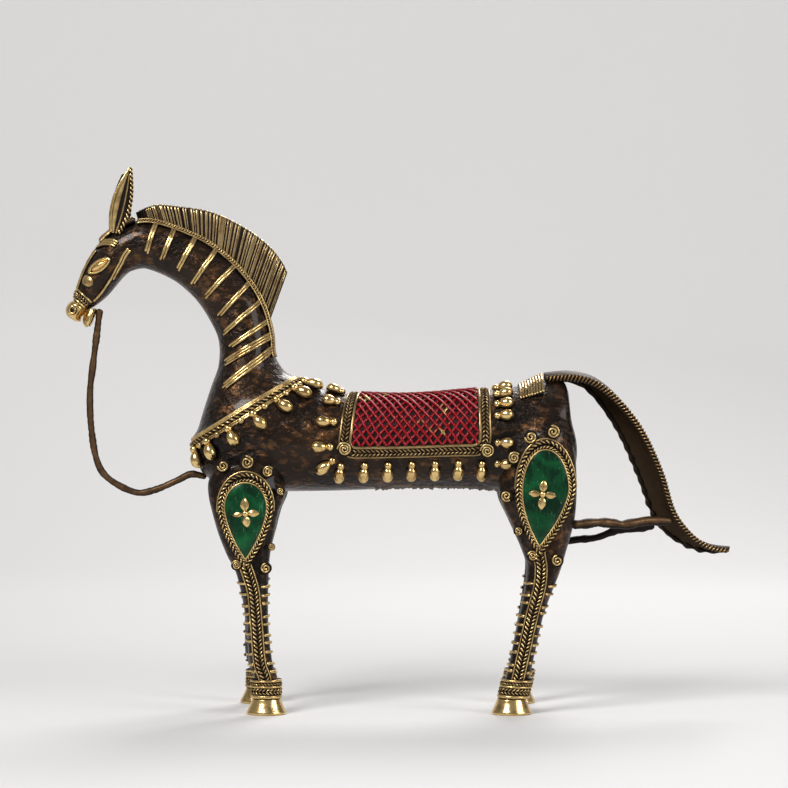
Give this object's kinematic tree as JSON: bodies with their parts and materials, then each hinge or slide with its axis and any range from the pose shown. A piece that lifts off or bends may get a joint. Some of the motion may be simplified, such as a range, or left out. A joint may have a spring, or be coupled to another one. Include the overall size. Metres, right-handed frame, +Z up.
{
  "type": "dhokra horse figurine",
  "caption": "Standing lost-wax brass horse with ribbed mane, roped collar, lattice saddle cloth, enamelled leg medallions, arched tail and cast rein.",
  "frame": {"origin": "on the ground under the middle of the horse's length and width", "axes": "+X to the tail, -X to the muzzle, -Y to the near (left) side, +Z up"},
  "size_m": [0.3086, 0.0604, 0.2507],
  "materials": {
    "bronze": "dark brown patina, polished to a gloss",
    "gold": "bright on the crests, dark in the recesses",
    "copper": "dark with coppery crests",
    "red_enamel": "glossy, worn to brass on a few crests",
    "green_enamel": "glossy with fine scratches",
    "clay": "fired clay and sand, rough"
  },
  "bodies": {
    "root": {"body_shell": "bronze", "clay_core": "clay", "neck": "bronze", "mane_comb": "copper", "neck_cords_left": "gold", "neck_cords_right": "gold", "head": "bronze", "muzzle": "gold", "lower_jaw": "gold", "browband": "gold", "noseband": "gold", "cheek_strap_left": "gold", "cheek_strap_right": "gold", "eye_left": "gold", "eye_right": "gold", "ear_left": "gold", "ear_right": "gold", "collar": "gold", "saddle_lattice": "red_enamel", "saddle_border": "gold", "crupper": "gold", "tail": "copper", "tail_brace_left": "copper", "tail_brace_right": "copper", "rein": "copper", "front_leg_left": "bronze", "front_leg_right": "bronze", "hind_leg_left": "bronze", "hind_leg_right": "bronze", "front_hoof_left": "gold", "front_hoof_right": "gold", "hind_hoof_left": "gold", "hind_hoof_right": "gold", "front_cuff_left": "gold", "front_cuff_right": "gold", "hind_cuff_left": "gold", "hind_cuff_right": "gold", "front_greave_left": "gold", "front_greave_right": "gold", "hind_greave_left": "gold", "hind_greave_right": "gold", "medallion_front_left": "gold", "medallion_front_right": "gold", "medallion_hind_left": "gold", "medallion_hind_right": "gold", "enamel_front_left": "green_enamel", "enamel_front_right": "green_enamel", "enamel_hind_left": "green_enamel", "enamel_hind_right": "green_enamel"}
  },
  "joints": []
}
